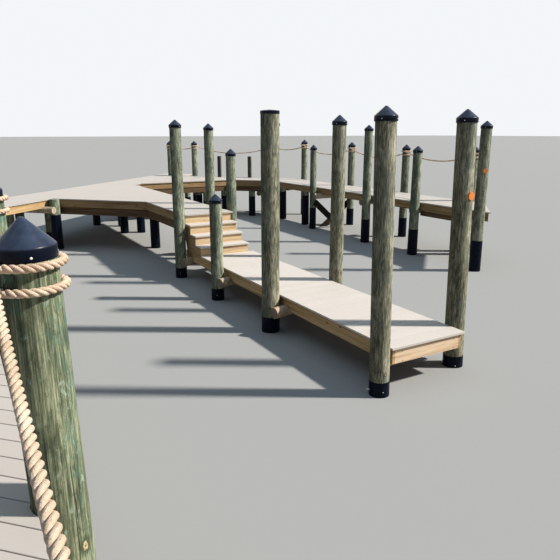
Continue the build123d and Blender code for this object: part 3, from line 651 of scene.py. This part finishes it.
# Nails and bolts: galvanised steel gone dark. Nails hold the rims and a riser, and two bolts go
# through the edge board of the approach.
NAIL_RADIUS = 0.006
BOLT_RADIUS = 0.014
APPROACH_BOLTS = [(-0.810, 10.072, 1.237), (-0.016, 9.278, 1.187)]
RISER_FACE = 6.127
RISER_NAILS = [(0.487, 1.066), (1.110, 1.050)]
SIDE_RIM_ROWS = (0.25, 0.97, 1.69, 2.41, 3.13, 3.85, 4.57, 5.29)
SIDE_RIM_PAIR = [(0, 0.485), (0.012, 0.420)]
END_RIM_ROWS = (0.325, 1.141, 1.222)
END_RIM_PAIR = [(0, 0.489), (0.010, 0.372)]
dull = Finish("dull_steel", Metallic=0.8)
tarnish = dull.noise(dull.place((180, 180, 180)))
tarnished = dull.mix(tarnish, (0.05, 0.045, 0.04), (0.11, 0.075, 0.05))
dull.feed(tarnished, 0.5 + tarnish * 0.3, tarnish, 0.0004)


def flat_head(radius):
    """A low round head with a bevelled rim."""
    clear_choice()
    bpy.ops.mesh.primitive_cylinder_add(vertices=16, radius=radius, depth=radius * 0.5)
    head = bpy.context.object
    rim = head.modifiers.new("rim", "BEVEL")
    rim.width = radius * 0.15
    bpy.ops.object.modifier_apply(modifier="rim")
    return head


nail = flat_head(NAIL_RADIUS)
bolt = flat_head(BOLT_RADIUS)
end_way = Vector((0, -1, 0))
side_way = Vector((-1, 0, 0))
side_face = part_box("low_side_rims")[0][0]
end_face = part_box("low_end_rims")[0][1]
marks = [copy_to(bolt, spot, end_way + side_way) for spot in APPROACH_BOLTS]
marks += [copy_to(nail, (x, RISER_FACE, z), end_way) for x, z in RISER_NAILS]
marks += [copy_to(nail, (side_face, y + shift, z), side_way)
          for y in SIDE_RIM_ROWS for shift, z in SIDE_RIM_PAIR]
marks += [copy_to(nail, (x + shift, end_face, z), end_way)
          for x in END_RIM_ROWS for shift, z in END_RIM_PAIR]
bpy.data.objects.remove(nail)
bpy.data.objects.remove(bolt)
nails = join(marks, "dark_nails")
cover(nails, dull)
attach(nails, "root")

# Rope rail: three-strand manila, 39 mm thick. It takes two turns round each post below the cap and
# hangs slack to the next one.
ROPE_RADIUS = 0.0195
STRAND_COUNT = 3
STRAND_OFFSET = 0.0104
STRAND_RADIUS = 0.0091
TURN_LAY = 0.098
TURN_POINTS = 96
SPAN_LAY = 0.115
SPAN_STEPS = 32
ROPE_SEAT = 0.0003
ROPE_SAG_SHARE = 0.075
SAG_SHAPE = [(0.09, 0.33), (0.22, 0.69), (0.37, 0.93), (0.54, 1.0), (0.70, 0.84), (0.84, 0.54),
             (0.94, 0.22)]
NEAR_DROPS = (0.069, 0.168)
FAR_DROPS = (0.085, 0.180)
manila = Finish("manila", Specular_IOR_Level=0.15)
fuzz = manila.noise(manila.place((160, 160, 160)), detail=4, rough=0.7)
tone = manila.noise(manila.place((7, 7, 7)))
yarn = manila.ramp(fuzz * 0.45 + tone * 0.55, (0.34, (0.42, 0.30, 0.20)),
                   (0.50, (0.65, 0.485, 0.36)), (0.66, (0.78, 0.64, 0.49)))
manila.feed(yarn, 0.85 + fuzz * 0.1, fuzz, 0.006)


def lay_strands(points, closed, pitch, name):
    """Strands laid round a line of points, each once round in about a pitch."""
    count = len(points)
    lengths = [0.0]
    for before, after in zip(points, points[1:] + points[:1]):
        lengths.append(lengths[-1] + (after - before).length)
    whole = lengths[-1] if closed else lengths[-2]
    lay = whole / round(whole / pitch)
    strands = []
    for strand in range(STRAND_COUNT):
        line = bpy.data.curves.new(name, "CURVE")
        line.dimensions = "3D"
        line.bevel_depth = STRAND_RADIUS
        line.bevel_resolution = 3
        line.use_fill_caps = not closed
        spline = line.splines.new("POLY")
        spline.points.add(count - 1)
        spline.use_cyclic_u = closed
        for number, point in enumerate(points):
            before = points[number - 1] if number or closed else point
            after = points[(number + 1) % count] if number < count - 1 or closed else point
            forward = (after - before).normalized()
            side = forward.cross(STRAIGHT).normalized()
            up = forward.cross(side)
            angle = 2 * math.pi * (lengths[number] / lay + strand / STRAND_COUNT)
            place = point + (side * math.cos(angle) + up * math.sin(angle)) * STRAND_OFFSET
            spline.points[number].co = (*place, 1)
        piece = bpy.data.objects.new(name, line)
        bpy.context.collection.objects.link(piece)
        choose(piece)
        bpy.ops.object.convert(target="MESH")
        strands.append(bpy.context.object)
    rope = join(strands, name)
    cover(rope, manila)
    bpy.ops.object.shade_smooth()
    return rope


def rope_turns(posts, drops, node):
    """Two twisted turns round each post."""
    rings = []
    for post in posts:
        for drop in drops:
            middle, radius = spot_on(post, post.height - drop)
            reach = radius + ROPE_RADIUS + ROPE_SEAT
            angles = [2 * math.pi * number / TURN_POINTS for number in range(TURN_POINTS)]
            circle = [middle + Vector((math.cos(angle), math.sin(angle), 0)) * reach
                      for angle in angles]
            rings.append(lay_strands(circle, True, TURN_LAY, node + "_ring"))
    turns = join(rings, node + "_laid")
    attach(turns, "root")
    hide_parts(node)


def rope_span(first, second, drops, node):
    """A slack span from the lower turn on one post to the upper turn on the next."""
    low, low_radius = spot_on(first, first.height - drops[1])
    high, high_radius = spot_on(second, second.height - drops[0])
    run = Vector((high.x - low.x, high.y - low.y, 0)).normalized()
    side = Vector((-run.y, run.x, 0))
    leave = low_radius + ROPE_RADIUS + ROPE_SEAT
    arrive = high_radius + ROPE_RADIUS + ROPE_SEAT
    clear = math.sqrt((leave + ROPE_RADIUS + ROPE_SEAT) ** 2 - (leave - ROPE_RADIUS) ** 2)
    start = low + side * leave + run * clear
    end = high + side * arrive - run * clear
    sag = ROPE_SAG_SHARE * (end - start).length
    route = [start + (end - start) * share - STRAIGHT * sag * drop
             for share, drop in [(0, 0), *SAG_SHAPE, (1, 0)]]
    line = bpy.data.curves.new(node + "_route", "CURVE")
    line.dimensions = "3D"
    line.resolution_u = SPAN_STEPS
    spline = line.splines.new("NURBS")
    spline.points.add(len(route) - 1)
    for point, place in zip(spline.points, route):
        point.co = (*place, 1)
    spline.order_u = 3
    spline.use_endpoint_u = True
    guide = bpy.data.objects.new(node + "_route", line)
    bpy.context.collection.objects.link(guide)
    bpy.context.view_layer.update()
    drawn = bpy.data.meshes.new_from_object(guide)
    path = [vertex.co.copy() for vertex in drawn.vertices]
    bpy.data.objects.remove(guide)
    rope = lay_strands(path, False, SPAN_LAY, node + "_laid")
    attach(rope, "root")
    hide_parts(node)


for side, posts, drops in (("near", NEAR_POSTS, NEAR_DROPS), ("far", FAR_POSTS, FAR_DROPS)):
    rope_turns(posts, drops, side + "_rope_turns")
    for number, (first, second) in enumerate(zip(posts, posts[1:]), 1):
        rope_span(first, second, drops, f"{side}_rope_span_{number}")

# Reflectors: orange prismatic plastic discs, fixed flat to the outer side of two pilings, so that
# the ends of the dock can be found at night.
lens = Finish("reflector_lens", Specular_IOR_Level=0.6)
prism = lens.cells(lens.place((260, 260, 260)))
orange = lens.mix(prism * 0.8, (0.90, 0.26, 0.03), (0.62, 0.13, 0.01))
lens.feed(orange, 0.22 + prism * 0.2, prism, 0.001)
dress(lens, "reflectors")

# Pedestals: two low square posts at the edge of the far leg, of treated pine gone dark, fixed to
# the deck without a cap.
dark_post = treated_pine("dark_post", light=(0.13, 0.105, 0.08), mid=(0.07, 0.055, 0.045),
                         dark=(0.03, 0.025, 0.02), moss=(0.08, 0.08, 0.06))
dress(dark_post, "leg_pedestals")

# Floor: plain, pale and level, just under the feet of the pilings. It is matt, and it takes the
# shadows.
FLOOR_SIDE = 900
FLOOR_DROP = 0.0005
clear_choice()
bpy.ops.mesh.primitive_plane_add(size=FLOOR_SIDE, location=(0, 10, -FLOOR_DROP))
floor = bpy.context.object
floor.name = "floor"
bpy.ops.object.transform_apply()
pale = Finish("pale_floor", Specular_IOR_Level=0.1)
cloud = pale.noise(pale.place((0.3, 0.3, 0.3)), detail=2)
clouded = pale.mix(cloud * 0.1, (0.305, 0.305, 0.30), (0.29, 0.29, 0.285))
pale.feed(clouded, 0.9 + cloud * 0.05, cloud, 0.0001)
cover(floor, pale)


# Light: a warm key sun 40 degrees high from the right, a wide cool one overhead, and an even pale
# surround. The backdrop is for what the camera sees directly, in gloss or through something.
def lamp(name, energy, spread, colour):
    """A sun lamp whose light is spread over this many degrees. It shines straight down at first."""
    light = bpy.data.lights.new(name, "SUN")
    light.energy = energy
    light.angle = math.radians(spread)
    light.color = colour
    placed = bpy.data.objects.new(name, light)
    bpy.context.collection.objects.link(placed)
    return placed


def aim(bearing, rise):
    """The direction at a bearing from +X and at a height over the horizon, in degrees."""
    bearing, rise = math.radians(bearing), math.radians(rise)
    level = math.cos(rise)
    return Vector((math.cos(bearing) * level, math.sin(bearing) * level, math.sin(rise)))


key = lamp("key", 6.4, 3, (1.0, 0.955, 0.88))
key.rotation_mode = "QUATERNION"
key.rotation_quaternion = aim(-31, 40).to_track_quat("Z", "Y")
lamp("overhead", 0.75, 80, (0.62, 0.81, 1.0))

world = bpy.data.worlds.new("surround")
bpy.context.scene.world = world
world.use_nodes = True
surround = world.node_tree
sky = surround.nodes["Background"]
sky.inputs["Color"].default_value = (0.66, 0.82, 1.0, 1)
sky.inputs["Strength"].default_value = 0.20
backdrop = surround.nodes.new("ShaderNodeBackground")
backdrop.inputs["Color"].default_value = (0.90, 0.92, 0.94, 1)
rays = surround.nodes.new("ShaderNodeLightPath")
seen = rays.outputs["Is Camera Ray"]
for kind in ("Is Glossy Ray", "Is Transmission Ray"):
    either = surround.nodes.new("ShaderNodeMath")
    either.operation = "MAXIMUM"
    surround.links.new(seen, either.inputs[0])
    surround.links.new(rays.outputs[kind], either.inputs[1])
    seen = either.outputs[0]
blend = surround.nodes.new("ShaderNodeMixShader")
surround.links.new(seen, blend.inputs["Fac"])
surround.links.new(sky.outputs["Background"], blend.inputs[1])
surround.links.new(backdrop.outputs["Background"], blend.inputs[2])
surround.links.new(blend.outputs["Shader"], surround.nodes["World Output"].inputs["Surface"])
bpy.context.scene.view_settings.view_transform = "Standard"

# Camera: at eye height on the near pier, 1.64 m over its deck. It looks down on the finger across
# the gap between them.
SENSOR_WIDE = 36
FOCAL_PIXELS = 567.4
PICTURE_PIXELS = 560
eye = bpy.data.cameras.new("eye")
eye.sensor_width = SENSOR_WIDE
eye.lens = SENSOR_WIDE * FOCAL_PIXELS / PICTURE_PIXELS
eye.clip_start = 0.05
camera = bpy.data.objects.new("camera", eye)
bpy.context.collection.objects.link(camera)
camera.location = (-3.932, -4.670, 2.918)
camera.rotation_mode = "QUATERNION"
camera.rotation_quaternion = aim(60.20, -14.56).to_track_quat("-Z", "Y")
bpy.context.scene.camera = camera
